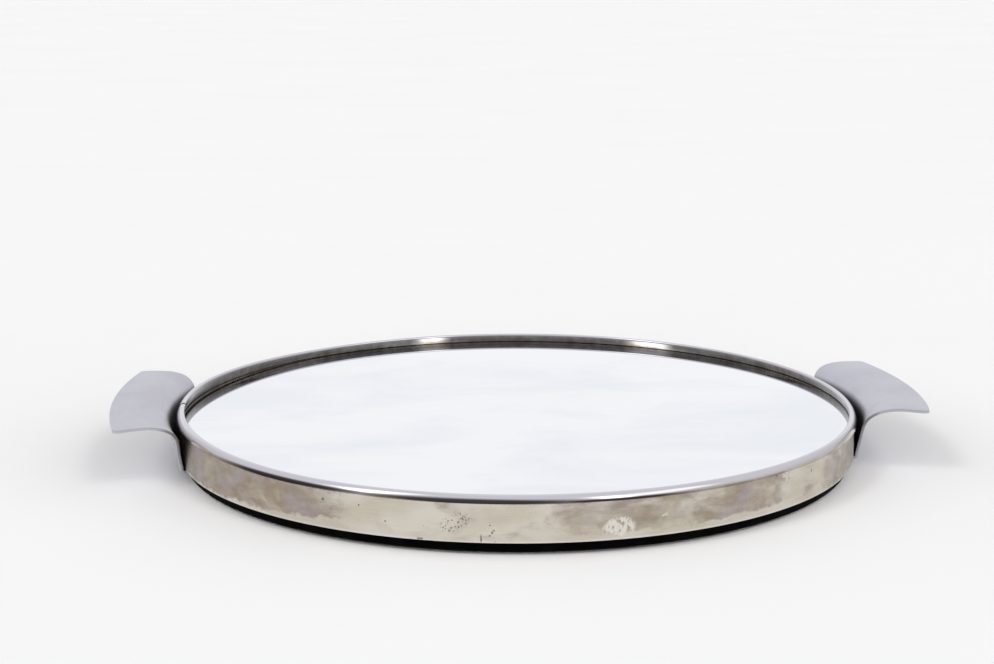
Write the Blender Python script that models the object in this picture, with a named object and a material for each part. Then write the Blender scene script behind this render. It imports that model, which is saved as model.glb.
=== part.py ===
"""Round mirror tray with a rolled metal rim, a black plinth and two flared sheet-metal handles.

The frame has +Z up and +X through the right handle. The origin is the centre of the underside, on the table.
All sizes are in metres.
"""
import math

import bmesh
import bpy
from mathutils import Matrix, Vector
from mathutils.geometry import interpolate_bezier

# Clearance between pieces that touch or rest on each other
FIT = 0.0003

# Stack from the table up
FELT_THICKNESS = 0.0010
PLINTH_THICKNESS = 0.0040
BOARD_THICKNESS = 0.0089
BACKING_THICKNESS = 0.0010
GLASS_THICKNESS = 0.0040

# Rim hoop, a rolled strip with a domed bead along its top
BAND_RADIUS = 0.1500
BAND_SHEET = 0.0007
BAND_EDGE_ROUND = 0.0003
BEAD_PROUD = 0.00115
BEAD_HEIGHT = 0.0031
BEAD_ABOVE_GLASS = 0.0042
BEAD_UNDER_ROUND = 0.00015
BEAD_START_ANGLE = 24
LIP_BEND = 0.00025
LIP_UNDERCUT_ANGLE = 13
LIP_SLOT = 0.0004
SEAM_GAP = 0.0005

# Discs inside and under the hoop
GLASS_CHAMFER = 0.0005
PLINTH_INSET = 0.0025
PLINTH_ROUND = 0.0006
FELT_INSET = 0.0040

# Handles, each one bent sheet
HANDLE_SHEET = 0.0012
HANDLE_REACH = 0.0290
HANDLE_WIDTH = 0.1140
HANDLE_TIP_CORNER = 0.0028
HANDLE_FOOT_WIDTH = 0.0755
HANDLE_TAPER_LENGTH = 0.0250
FOOT_GAP = 0.0007
FOOT_BEND = 0.0006
WEB_HEIGHT = 0.0130
WEB_LEAN = 0.0024
CREST_OUT = 0.0145
CREST_RISE = 0.0090
CREST_PULL = 0.0085
WEB_PULL = 0.0060
TIP_DROOP = 0.0004
TIP_PULL = 0.0042
TIP_CORNER_OUT = 0.0028
RIGHT_LIP_TILT = 0.0016
FLANGE_LENGTH = 0.0300
FLANGE_CORNER = 0.0080
FLANGE_POCKET_GAP = 0.0004

# Screws and pins
HANDLE_SCREW_COUNT = 3
HANDLE_SCREW_PITCH = 0.0200
HANDLE_SCREW_INSET = 0.0140
HANDLE_SCREW_SHANK = 0.0015
HANDLE_SCREW_LENGTH = 0.0070
HANDLE_SCREW_HEAD = 0.0030
HANDLE_SCREW_HEAD_HEIGHT = 0.0013
SCREW_ACCESS_GAP = 0.0010
PLINTH_SCREW_COUNT = 6
PLINTH_SCREW_CIRCLE = 0.1050
PLINTH_SCREW_SHANK = 0.0015
PLINTH_SCREW_LENGTH = 0.0105
PLINTH_SCREW_HEAD = 0.0032
PLINTH_SCREW_RIM = 0.0003
PLINTH_SCREW_CONE = 0.0015
PIN_SPREAD = 0.0100
PIN_HEIGHT = 0.0055
PIN_SHANK = 0.0006
PIN_LENGTH = 0.0090
PIN_HEAD = 0.0011
PIN_HEAD_HEIGHT = 0.0004

# Facets
RING_STEPS = 96
SHANK_STEPS = 10
HANDLE_STEPS = 14
POCKET_STEPS = 8
WEB_STEPS = 4
FLARE_POINTS = 9
DROOP_POINTS = 24
DROOP_STRIDE = 6
CORNER_STEPS = 4
FOOT_STEPS = 3
EDGE_STEPS = 1
UNDER_STEPS = 2
DOME_STEPS = 5
LIP_STEPS = 3
INNER_DOME_STEPS = 3
SCREW_HEAD_STEPS = 3
SHARP_ANGLE = 40
FLAT_ANGLE = 1
WELD = 0.00001

# Heights and radii that follow from the sizes above
PLINTH_BOTTOM = FELT_THICKNESS + FIT
PLINTH_TOP = PLINTH_BOTTOM + PLINTH_THICKNESS
BOARD_BOTTOM = PLINTH_TOP + FIT
BOARD_TOP = BOARD_BOTTOM + BOARD_THICKNESS
BACKING_BOTTOM = BOARD_TOP + FIT
GLASS_BOTTOM = BACKING_BOTTOM + BACKING_THICKNESS + FIT
GLASS_TOP = GLASS_BOTTOM + GLASS_THICKNESS
BEAD_TOP = GLASS_TOP + BEAD_ABOVE_GLASS
BAND_BOTTOM = BOARD_BOTTOM
BAND_INSIDE = BAND_RADIUS - BAND_SHEET
DISC_RADIUS = BAND_INSIDE - FIT
PLINTH_RADIUS = BAND_RADIUS - PLINTH_INSET
FELT_RADIUS = PLINTH_RADIUS - FELT_INSET
FLANGE_TOP = BOARD_BOTTOM - FIT
FLANGE_BOTTOM = FLANGE_TOP - HANDLE_SHEET
FLANGE_END = BAND_RADIUS - FLANGE_LENGTH
FOOT_RADIUS = BAND_RADIUS + FOOT_GAP + HANDLE_SHEET
HANDLE_TIP = BAND_RADIUS + HANDLE_REACH
HANDLE_SCREW_RADIUS = BAND_RADIUS - HANDLE_SCREW_INSET


def clear_scene():
    """Remove everything that the file opened with."""
    for item in list(bpy.data.objects):
        bpy.data.objects.remove(item, do_unlink=True)


def make_material(name, colour, roughness, metallic):
    material = bpy.data.materials.new(name)
    material.use_nodes = True
    shader = material.node_tree.nodes["Principled BSDF"]
    shader.inputs["Base Color"].default_value = (*colour, 1.0)
    shader.inputs["Roughness"].default_value = roughness
    shader.inputs["Metallic"].default_value = metallic
    material.diffuse_color = (*colour, 1.0)
    return material


def add_object(name, bm, material):
    """Turn a bmesh into a named object with smooth faces between sharp edges."""
    bmesh.ops.recalc_face_normals(bm, faces=bm.faces)
    mesh = bpy.data.meshes.new(name)
    bm.to_mesh(mesh)
    bm.free()
    mesh.shade_smooth()
    mesh.set_sharp_from_angle(angle=math.radians(SHARP_ANGLE))
    item = bpy.data.objects.new(name, mesh)
    bpy.context.scene.collection.objects.link(item)
    if material is not None:
        mesh.materials.append(material)
    return item


def add_cutter(name, bm):
    """A shape that is only there to be cut away from another."""
    item = add_object(name, bm, None)
    item.hide_render = True
    item.display_type = "WIRE"
    return item


def cut(item, cutter):
    """Cut a shape away from an object and keep the two together when the object is placed."""
    cutter.parent = item
    modifier = item.modifiers.new("cut_" + cutter.name, "BOOLEAN")
    modifier.operation = "DIFFERENCE"
    modifier.solver = "EXACT"
    modifier.object = cutter


def arc(centre, radii, start, end, steps):
    """Points of an elliptical arc in the (radius, height) plane, angles in degrees."""
    points = []
    for k in range(steps + 1):
        angle = math.radians(start + (end - start) * k / steps)
        points.append((centre[0] + radii[0] * math.cos(angle), centre[1] + radii[1] * math.sin(angle)))
    return points


def profile_chain(bm, points, closed):
    """Lay a profile of (radius, height) points in the XZ plane and return its vertices and edges."""
    verts = [bm.verts.new((radius, 0.0, height)) for radius, height in points]
    edges = [bm.edges.new(pair) for pair in zip(verts, verts[1:])]
    if closed:
        edges.append(bm.edges.new((verts[-1], verts[0])))
    return verts + edges


def spin(bm, geometry, angle, steps):
    """Turn a profile about the Z axis and return the geometry at the end of the turn."""
    result = bmesh.ops.spin(bm, geom=geometry, cent=(0, 0, 0), axis=(0, 0, 1), angle=angle, steps=steps,
                            use_duplicate=False)
    return result["geom_last"]


def turned(points, steps):
    """A turned solid whose profile starts and ends on the Z axis."""
    bm = bmesh.new()
    spin(bm, profile_chain(bm, points, closed=False), math.tau, steps)
    bmesh.ops.remove_doubles(bm, verts=bm.verts, dist=WELD)
    return bm


def merge_into(target, source, matrix):
    """Copy one bmesh into another, moved by a matrix."""
    mesh = bpy.data.meshes.new("part")
    source.to_mesh(mesh)
    source.free()
    mesh.transform(matrix)
    target.from_mesh(mesh)
    bpy.data.meshes.remove(mesh)


def hoop_profile():
    """Section of the rolled strip: wall, crease, domed bead, and the lip that holds the glass down."""
    sheet = BAND_SHEET
    crease = BEAD_TOP - BEAD_HEIGHT
    bead_out = BAND_RADIUS + BEAD_PROUD
    undercut = math.radians(LIP_UNDERCUT_ANGLE)
    start = math.radians(BEAD_START_ANGLE)
    bend = sheet + LIP_BEND
    bend_height = BEAD_TOP - bend
    lip_foot = GLASS_TOP + FIT
    foot_out = BAND_INSIDE - LIP_SLOT
    foot_in = foot_out - sheet / math.cos(undercut)
    bend_end = foot_in - (bend_height - bend * math.sin(undercut) - lip_foot) * math.tan(undercut)
    crown = bend_end + bend * math.cos(undercut)
    dome = ((bead_out - crown) / math.cos(start), BEAD_HEIGHT / (1 - math.sin(start)))
    dome_centre = (crown, BEAD_TOP - dome[1])
    inner_dome = (dome[0] - sheet, dome[1] - sheet)
    inner_end = math.degrees(math.asin((crease + sheet - dome_centre[1]) / inner_dome[1]))
    bend_centre = (crown, bend_height)
    lip_turn = 180 + LIP_UNDERCUT_ANGLE
    edge = (BAND_EDGE_ROUND, BAND_EDGE_ROUND)
    under = (BEAD_UNDER_ROUND, BEAD_UNDER_ROUND)
    points = arc((BAND_RADIUS - edge[0], BAND_BOTTOM + edge[1]), edge, -90, 0, EDGE_STEPS)
    points.append((BAND_RADIUS, crease))
    points += arc((bead_out - under[0], crease + under[1]), under, -90, 0, UNDER_STEPS)[:-1]
    points += arc(dome_centre, dome, BEAD_START_ANGLE, 90, DOME_STEPS)[1:]
    points += arc(bend_centre, (bend, bend), 90, lip_turn, LIP_STEPS)[1:]
    points.append((foot_in, lip_foot))
    points.append((foot_out, lip_foot))
    points += arc(bend_centre, (LIP_BEND, LIP_BEND), lip_turn, 90, EDGE_STEPS)
    points += arc(dome_centre, inner_dome, 90, inner_end, INNER_DOME_STEPS)[1:]
    points.append((BAND_INSIDE, crease + sheet))
    points.append((BAND_INSIDE, BAND_BOTTOM))
    return points


def build_hoop(material):
    """The strip goes all the way round and its ends butt at the seam, behind the left handle."""
    bm = bmesh.new()
    first = profile_chain(bm, hoop_profile(), closed=True)
    gap = SEAM_GAP / BAND_RADIUS
    bmesh.ops.rotate(bm, verts=bm.verts, cent=(0, 0, 0), matrix=Matrix.Rotation(math.pi + gap / 2, 3, "Z"))
    spin(bm, first, math.tau - gap, RING_STEPS)
    bmesh.ops.holes_fill(bm, edges=[edge for edge in bm.edges if edge.is_boundary], sides=0)
    return add_object("rim_hoop", bm, material)


def build_disc(name, radius, bottom, thickness, edge_round, material):
    """A flat disc with a small chamfer round both faces."""
    top = bottom + thickness
    points = [(0.0, bottom), (radius - edge_round, bottom), (radius, bottom + edge_round),
              (radius, top - edge_round), (radius - edge_round, top), (0.0, top)]
    bm = turned(points, RING_STEPS)
    bmesh.ops.dissolve_limit(bm, angle_limit=math.radians(FLAT_ANGLE), verts=bm.verts, edges=bm.edges)
    return add_object(name, bm, material)


def upright_cylinder(target, centre, radius, bottom, top):
    """Add a round cutter that stands on a centre in plan."""
    bm = bmesh.new()
    bmesh.ops.create_cone(bm, cap_ends=True, segments=SHANK_STEPS, radius1=radius, radius2=radius,
                          depth=top - bottom)
    merge_into(target, bm, Matrix.Translation((centre[0], centre[1], (top + bottom) / 2)))


def handle_screw_places(side):
    """Centres of one handle's screws in plan, side by side on a circle inside the hoop."""
    places = []
    for k in range(HANDLE_SCREW_COUNT):
        angle = (k - (HANDLE_SCREW_COUNT - 1) / 2) * HANDLE_SCREW_PITCH / HANDLE_SCREW_RADIUS
        places.append((side * HANDLE_SCREW_RADIUS * math.cos(angle), HANDLE_SCREW_RADIUS * math.sin(angle)))
    return places


def plinth_screw_places():
    """Centres of the plinth's screws, clear of the handle flanges."""
    places = []
    for k in range(PLINTH_SCREW_COUNT):
        angle = (k + 0.5) * math.tau / PLINTH_SCREW_COUNT
        places.append((PLINTH_SCREW_CIRCLE * math.cos(angle), PLINTH_SCREW_CIRCLE * math.sin(angle)))
    return places


def pin_angles(side):
    """Angles round the hoop of the two pins behind one handle."""
    middle = 0.0 if side > 0 else math.pi
    return [middle - PIN_SPREAD / BAND_RADIUS, middle + PIN_SPREAD / BAND_RADIUS]


def pin_matrix(angle):
    """Places a pin that was made along +Z so that it points at the tray's axis."""
    turn = Matrix.Rotation(angle, 4, "Z")
    place = Matrix.Translation((BAND_RADIUS + FIT, 0.0, BAND_BOTTOM + PIN_HEIGHT))
    return turn @ place @ Matrix.Rotation(-math.pi / 2, 4, "Y")


def cut_pin_holes(item):
    bm = bmesh.new()
    radius = PIN_SHANK + FIT
    for side in (1, -1):
        for angle in pin_angles(side):
            hole = bmesh.new()
            bmesh.ops.create_cone(hole, cap_ends=True, segments=SHANK_STEPS, radius1=radius, radius2=radius,
                                  depth=2 * (PIN_LENGTH + FIT))
            merge_into(bm, hole, pin_matrix(angle))
    cut(item, add_cutter(item.name + "_pin_holes", bm))


def build_board(material):
    """The wooden board, with pilot holes for the handle screws, the plinth screws and the hoop's pins."""
    board = build_disc("base_board", DISC_RADIUS, BOARD_BOTTOM, BOARD_THICKNESS, GLASS_CHAMFER, material)
    bm = bmesh.new()
    handle_end = FLANGE_BOTTOM + HANDLE_SCREW_LENGTH
    for side in (1, -1):
        for place in handle_screw_places(side):
            upright_cylinder(bm, place, HANDLE_SCREW_SHANK + FIT, BOARD_BOTTOM - FIT, handle_end)
    for place in plinth_screw_places():
        upright_cylinder(bm, place, PLINTH_SCREW_SHANK + FIT, BOARD_BOTTOM - FIT,
                         PLINTH_BOTTOM + PLINTH_SCREW_LENGTH + FIT)
    cut(board, add_cutter("board_screw_holes", bm))
    cut_pin_holes(board)
    return board


def foot_half_angle():
    """Half the angle that a handle's foot and flange span round the tray's axis."""
    return math.asin(HANDLE_FOOT_WIDTH / 2 / FOOT_RADIUS)


def build_plinth(material):
    """The black plinth, with a pocket over each handle flange and holes for all the screws."""
    plinth = build_disc("base_plinth", PLINTH_RADIUS, PLINTH_BOTTOM, PLINTH_THICKNESS, PLINTH_ROUND, material)
    half = foot_half_angle() + FLANGE_POCKET_GAP / FLANGE_END
    floor = FLANGE_BOTTOM - FLANGE_POCKET_GAP
    section = [(FLANGE_END - FLANGE_POCKET_GAP, floor), (BAND_RADIUS, floor),
               (BAND_RADIUS, PLINTH_TOP + FIT), (FLANGE_END - FLANGE_POCKET_GAP, PLINTH_TOP + FIT)]
    pockets = bmesh.new()
    for middle in (0.0, math.pi):
        bm = bmesh.new()
        first = profile_chain(bm, section, closed=True)
        spin(bm, first, 2 * half, POCKET_STEPS)
        bmesh.ops.holes_fill(bm, edges=[edge for edge in bm.edges if edge.is_boundary], sides=0)
        merge_into(pockets, bm, Matrix.Rotation(middle - half, 4, "Z"))
    cut(plinth, add_cutter("plinth_pockets", pockets))
    holes = bmesh.new()
    for side in (1, -1):
        for place in handle_screw_places(side):
            upright_cylinder(holes, place, HANDLE_SCREW_HEAD + SCREW_ACCESS_GAP, PLINTH_BOTTOM - FIT,
                             FLANGE_BOTTOM)
    for place in plinth_screw_places():
        merge_into(holes, plinth_screw_shape(-FIT, FIT), Matrix.Translation((*place, PLINTH_BOTTOM)))
    cut(plinth, add_cutter("plinth_holes", holes))
    return plinth


def handle_outline():
    """Outer face of the handle sheet in (radius, height): flange and foot bend, then web, flare and droop."""
    bend_out = FOOT_BEND + HANDLE_SHEET
    bend_centre = (FOOT_RADIUS - bend_out, FLANGE_BOTTOM + bend_out)
    flange = [(FLANGE_END + step, FLANGE_BOTTOM) for step in corner_steps(FLANGE_CORNER)]
    foot = arc(bend_centre, (bend_out, bend_out), -90, 0, FOOT_STEPS)
    web_bottom = Vector(foot[-1])
    web_top = Vector((FOOT_RADIUS + WEB_LEAN, BAND_BOTTOM + WEB_HEIGHT))
    crest = web_top + Vector((CREST_OUT, CREST_RISE))
    tip = Vector((HANDLE_TIP, crest.y - TIP_DROOP))
    lean = (web_top - web_bottom).normalized()
    web = [web_bottom.lerp(web_top, k / WEB_STEPS) for k in range(1, WEB_STEPS)]
    flare = interpolate_bezier(web_top, web_top + lean * WEB_PULL, crest - Vector((CREST_PULL, 0)), crest,
                               FLARE_POINTS)
    droop = interpolate_bezier(crest, crest + Vector((TIP_PULL, 0)), tip - Vector((TIP_PULL, 0)), tip,
                               DROOP_POINTS)
    return flange + foot, [tuple(point) for point in web + flare + along_droop(droop)]


def corner_steps(corner):
    """Distances from an end of the sheet at which a rounded corner needs a row of points."""
    return [corner * (1 - math.cos(math.radians(90 * k / CORNER_STEPS))) for k in range(CORNER_STEPS + 1)]


def along_droop(droop):
    """Keep only the points of the droop that its shape and the rounded corner need."""
    kept = []
    for station in reversed(corner_steps(HANDLE_TIP_CORNER)):
        radius = droop[-1].x - station
        for before, after in zip(droop, droop[1:]):
            if before.x <= radius <= after.x:
                kept.append(before.lerp(after, (radius - before.x) / (after.x - before.x)))
                break
    middle = [point for point in droop[DROOP_STRIDE // 2::DROOP_STRIDE] if point.x < kept[0].x - HANDLE_SHEET]
    return middle + kept


def corner_inset(distance, corner):
    """How far a side edge is drawn in at a distance from an end with rounded corners."""
    left = min(max(corner - distance, 0.0), corner)
    return corner - math.sqrt(corner ** 2 - left ** 2)


def handle_half_angles(lower, upper):
    """Half the angle that the sheet spans at each point: the foot's, then wider up the web to the lip's."""
    foot = foot_half_angle()
    lip = math.asin(HANDLE_WIDTH / 2 / HANDLE_TIP)
    angles = [foot - corner_inset(radius - FLANGE_END, FLANGE_CORNER) / radius for radius, height in lower]
    length = 0.0
    before = lower[-1]
    for radius, height in upper:
        length += math.dist(before, (radius, height))
        before = (radius, height)
        share = 0.5 - 0.5 * math.cos(math.pi * min(length / HANDLE_TAPER_LENGTH, 1.0))
        inset = corner_inset(HANDLE_TIP - radius, HANDLE_TIP_CORNER)
        angles.append(foot + (lip - foot) * share - inset / radius)
    return angles


def build_handle(name, material, tilt):
    """A bent sheet: flange, foot bend, leaning web that widens, flared lip with a crest, drooping tip.

    The tilt is how much lower the lip's far corner is than its middle, and how much higher the near one.
    """
    lower, upper = handle_outline()
    web_end = FOOT_RADIUS + WEB_LEAN
    bm = bmesh.new()
    span = bm.verts.layers.float.new("span")
    chain = profile_chain(bm, lower + upper, closed=False)
    for vert, angle in zip(chain, handle_half_angles(lower, upper)):
        vert[span] = angle
    spin(bm, chain, 1.0, HANDLE_STEPS)
    for vert in bm.verts:
        radius = math.hypot(vert.co.x, vert.co.y)
        angle = (2 * math.atan2(vert.co.y, vert.co.x) - 1.0) * vert[span]
        across = radius * math.sin(angle) / (HANDLE_WIDTH / 2)
        outward = max(radius - web_end, 0.0) / (HANDLE_TIP - web_end)
        upward = max(vert.co.z - BAND_BOTTOM, 0.0) / (WEB_HEIGHT + CREST_RISE)
        vert.co.x = radius * math.cos(angle) + TIP_CORNER_OUT * outward * across ** 2
        vert.co.y = radius * math.sin(angle)
        vert.co.z -= tilt * upward * across
    tip_face = max(bm.faces, key=lambda face: face.calc_center_median().x)
    bmesh.ops.recalc_face_normals(bm, faces=bm.faces)
    if tip_face.normal.z > 0:
        bmesh.ops.reverse_faces(bm, faces=bm.faces)
    mesh = bpy.data.meshes.new(name)
    bm.to_mesh(mesh)
    bm.free()
    mesh.shade_smooth()
    mesh.materials.append(material)
    handle = bpy.data.objects.new(name, mesh)
    bpy.context.scene.collection.objects.link(handle)
    wall = handle.modifiers.new("sheet", "SOLIDIFY")
    wall.thickness = HANDLE_SHEET
    wall.offset = -1
    wall.use_even_offset = True
    holes = bmesh.new()
    for place in handle_screw_places(1):
        upright_cylinder(holes, place, HANDLE_SCREW_SHANK + FIT, FLANGE_BOTTOM - FIT, FLANGE_TOP + FIT)
    cut(handle, add_cutter(name + "_screw_holes", holes))
    return handle


def handle_screw_shape():
    """Round-head screw along +Z, its head below zero and its point up."""
    head_radii = (HANDLE_SCREW_HEAD, HANDLE_SCREW_HEAD_HEIGHT)
    head = arc((0.0, 0.0), head_radii, -90, 0, SCREW_HEAD_STEPS)[1:]
    shank = [(HANDLE_SCREW_SHANK, 0.0),
             (HANDLE_SCREW_SHANK, HANDLE_SCREW_LENGTH - 2 * HANDLE_SCREW_SHANK), (0.0, HANDLE_SCREW_LENGTH)]
    return turned([(0.0, -HANDLE_SCREW_HEAD_HEIGHT)] + head + shank, SHANK_STEPS)


def plinth_screw_shape(start, clearance):
    """Countersunk screw along +Z whose head starts at a height; its hole is the same shape, but wider."""
    head = PLINTH_SCREW_HEAD + clearance
    shank = PLINTH_SCREW_SHANK + clearance
    rim = FIT + PLINTH_SCREW_RIM
    points = [(0.0, start), (head, start), (head, rim), (shank, rim + PLINTH_SCREW_CONE),
              (shank, PLINTH_SCREW_LENGTH - 2 * PLINTH_SCREW_SHANK), (0.0, PLINTH_SCREW_LENGTH)]
    return turned(points, SHANK_STEPS)


def pin_shape():
    """Flat-head pin along +Z, its head below zero."""
    points = [(0.0, -PIN_HEAD_HEIGHT), (PIN_HEAD, -PIN_HEAD_HEIGHT), (PIN_HEAD, 0.0), (PIN_SHANK, 0.0),
              (PIN_SHANK, PIN_LENGTH - 2 * PIN_SHANK), (0.0, PIN_LENGTH)]
    return turned(points, SHANK_STEPS)


def build_fasteners(steel, brass):
    for side, word in ((1, "right"), (-1, "left")):
        for k, place in enumerate(handle_screw_places(side), start=1):
            screw = add_object(f"handle_screw_{word}_{k}", handle_screw_shape(), steel)
            screw.location = (*place, FLANGE_BOTTOM - FIT)
        for k, angle in enumerate(pin_angles(side), start=1):
            pin = add_object(f"hoop_pin_{word}_{k}", pin_shape(), brass)
            pin.matrix_world = pin_matrix(angle)
    for k, place in enumerate(plinth_screw_places(), start=1):
        screw = add_object(f"plinth_screw_{k}", plinth_screw_shape(FIT, 0.0), steel)
        screw.location = (*place, PLINTH_BOTTOM)


def main():
    clear_scene()
    nickel = make_material("nickel_plate", (0.58, 0.54, 0.47), 0.28, 1.0)
    satin = make_material("satin_plate", (0.52, 0.50, 0.57), 0.38, 1.0)
    silver = make_material("mirror_glass", (0.90, 0.92, 0.93), 0.02, 1.0)
    card = make_material("grey_card", (0.36, 0.33, 0.28), 0.90, 0.0)
    wood = make_material("board_wood", (0.50, 0.34, 0.19), 0.70, 0.0)
    black = make_material("black_lacquer", (0.006, 0.006, 0.006), 0.45, 0.0)
    felt = make_material("black_felt", (0.015, 0.016, 0.017), 0.95, 0.0)
    steel = make_material("screw_steel", (0.42, 0.42, 0.43), 0.35, 1.0)
    brass = make_material("pin_brass", (0.60, 0.43, 0.16), 0.35, 1.0)

    hoop = build_hoop(nickel)
    cut_pin_holes(hoop)
    build_disc("mirror_glass", DISC_RADIUS, GLASS_BOTTOM, GLASS_THICKNESS, GLASS_CHAMFER, silver)
    build_disc("mirror_backing", DISC_RADIUS, BACKING_BOTTOM, BACKING_THICKNESS, FIT, card)
    build_board(wood)
    build_plinth(black)
    build_disc("felt_pad", FELT_RADIUS, 0.0, FELT_THICKNESS, FIT, felt)
    build_handle("handle_right", satin, RIGHT_LIP_TILT)
    left = build_handle("handle_left", satin, 0.0)
    left.rotation_euler = (0.0, 0.0, math.pi)
    build_fasteners(steel, brass)


main()
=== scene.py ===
"""Looks of a round mirror tray: fine surfaces, finishes, studio and camera.

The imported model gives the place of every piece. Lengths are in metres. Angles in names that end in
degrees are in degrees, and all other angles are in radians. Round the tray, an angle is counted from +X.
"""

import logging
import math
from dataclasses import dataclass, field
from enum import Enum

import bmesh
import bpy
from mathutils import Matrix, Vector
from mathutils.geometry import interpolate_bezier


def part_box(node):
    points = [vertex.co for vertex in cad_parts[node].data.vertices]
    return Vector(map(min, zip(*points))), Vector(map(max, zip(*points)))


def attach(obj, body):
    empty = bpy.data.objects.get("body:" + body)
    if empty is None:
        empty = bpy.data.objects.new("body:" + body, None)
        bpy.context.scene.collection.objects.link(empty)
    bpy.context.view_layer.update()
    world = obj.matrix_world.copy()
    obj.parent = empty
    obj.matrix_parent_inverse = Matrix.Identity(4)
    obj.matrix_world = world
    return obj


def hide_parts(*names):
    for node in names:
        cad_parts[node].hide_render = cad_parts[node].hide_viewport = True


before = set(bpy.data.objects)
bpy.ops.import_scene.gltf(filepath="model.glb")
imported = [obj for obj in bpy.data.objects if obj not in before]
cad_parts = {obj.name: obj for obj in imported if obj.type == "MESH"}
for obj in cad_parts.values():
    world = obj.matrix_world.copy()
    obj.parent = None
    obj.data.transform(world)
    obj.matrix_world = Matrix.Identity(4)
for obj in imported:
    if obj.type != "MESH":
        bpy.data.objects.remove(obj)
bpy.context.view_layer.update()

log = logging.getLogger("mirror_tray")

Colour = tuple[float, float, float]
Point = tuple[float, float]
Axes = tuple[float, float, float]

WELD = 0.000001
SHARP_DEGREES = 35.0
CREVICE_SHADE = "crevice"
REST_HEIGHT = "rest_height"


class Side(Enum):
    """The two sides of the tray that carry a handle."""

    RIGHT = "right"
    LEFT = "left"

    @property
    def turn(self) -> float:
        """Angle of the side's middle round the tray."""
        return 0.0 if self is Side.RIGHT else math.pi


class Wire:
    """An output socket in a node tree."""

    def __init__(self, graph: "Graph", socket: bpy.types.NodeSocket) -> None:
        """Remember the socket and the graph that it belongs to."""
        self.graph = graph
        self.socket = socket


class Number(Wire):
    """A number in a node tree. Arithmetic on it adds Math nodes."""

    def __add__(self, other: "Number | float") -> "Number":
        """This number plus another."""
        return self.graph.math("ADD", self, other)

    def __radd__(self, other: float) -> "Number":
        """A plain number plus this one."""
        return self.graph.math("ADD", other, self)

    def __sub__(self, other: "Number | float") -> "Number":
        """This number less another."""
        return self.graph.math("SUBTRACT", self, other)

    def __rsub__(self, other: float) -> "Number":
        """A plain number less this one."""
        return self.graph.math("SUBTRACT", other, self)

    def __mul__(self, other: "Number | float") -> "Number":
        """This number times another."""
        return self.graph.math("MULTIPLY", self, other)

    def __rmul__(self, other: float) -> "Number":
        """A plain number times this one."""
        return self.graph.math("MULTIPLY", other, self)

    def __truediv__(self, other: "Number | float") -> "Number":
        """This number over another."""
        return self.graph.math("DIVIDE", self, other)

    def __pow__(self, other: float) -> "Number":
        """This number to a power."""
        return self.graph.math("POWER", self, other)

    def size(self) -> "Number":
        """This number without its sign."""
        return self.graph.math("ABSOLUTE", self)

    def most(self, other: "Number | float") -> "Number":
        """The larger of this number and another."""
        return self.graph.math("MAXIMUM", self, other)

    def rise(self, low: "Number | float", high: "Number | float") -> "Number":
        """A soft step from 0 up to 1 between two values of this number."""
        node = self.graph.node("ShaderNodeMapRange", {"interpolation_type": "SMOOTHSTEP"},
                               {"Value": self, "From Min": low, "From Max": high})
        return Number(self.graph, node.outputs["Result"])

    def fall(self, low: "Number | float", high: "Number | float") -> "Number":
        """A soft step from 1 down to 0 between two values of this number."""
        return 1.0 - self.rise(low, high)


class Tint(Wire):
    """A colour in a node tree."""

    def towards(self, other: "Tint | Colour", share: "Number | float") -> "Tint":
        """This colour with a share of another, from 0 to 1, mixed in."""
        node = self.graph.node("ShaderNodeMix", {"data_type": "RGBA"}, {0: share, 6: self, 7: other})
        return Tint(self.graph, node.outputs[2])


class Place(Wire):
    """A vector in a node tree."""

    def _with(self, operation: str, other: "Place | Axes") -> "Place":
        """Join this vector with another through a Vector Math node."""
        node = self.graph.node("ShaderNodeVectorMath", {"operation": operation}, {0: self, 1: other})
        return Place(self.graph, node.outputs["Vector"])

    def __add__(self, other: "Place | Axes") -> "Place":
        """This vector plus another."""
        return self._with("ADD", other)

    def __sub__(self, other: "Place | Axes") -> "Place":
        """This vector less another."""
        return self._with("SUBTRACT", other)

    def __mul__(self, other: "Place | Axes") -> "Place":
        """This vector times another, axis by axis."""
        return self._with("MULTIPLY", other)

    def length(self) -> Number:
        """How long this vector is."""
        node = self.graph.node("ShaderNodeVectorMath", {"operation": "LENGTH"}, {0: self})
        return Number(self.graph, node.outputs["Value"])

    def split(self) -> tuple[Number, Number, Number]:
        """The three numbers of this vector."""
        node = self.graph.node("ShaderNodeSeparateXYZ", sockets={"Vector": self})
        return tuple(Number(self.graph, node.outputs[axis]) for axis in "XYZ")


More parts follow.
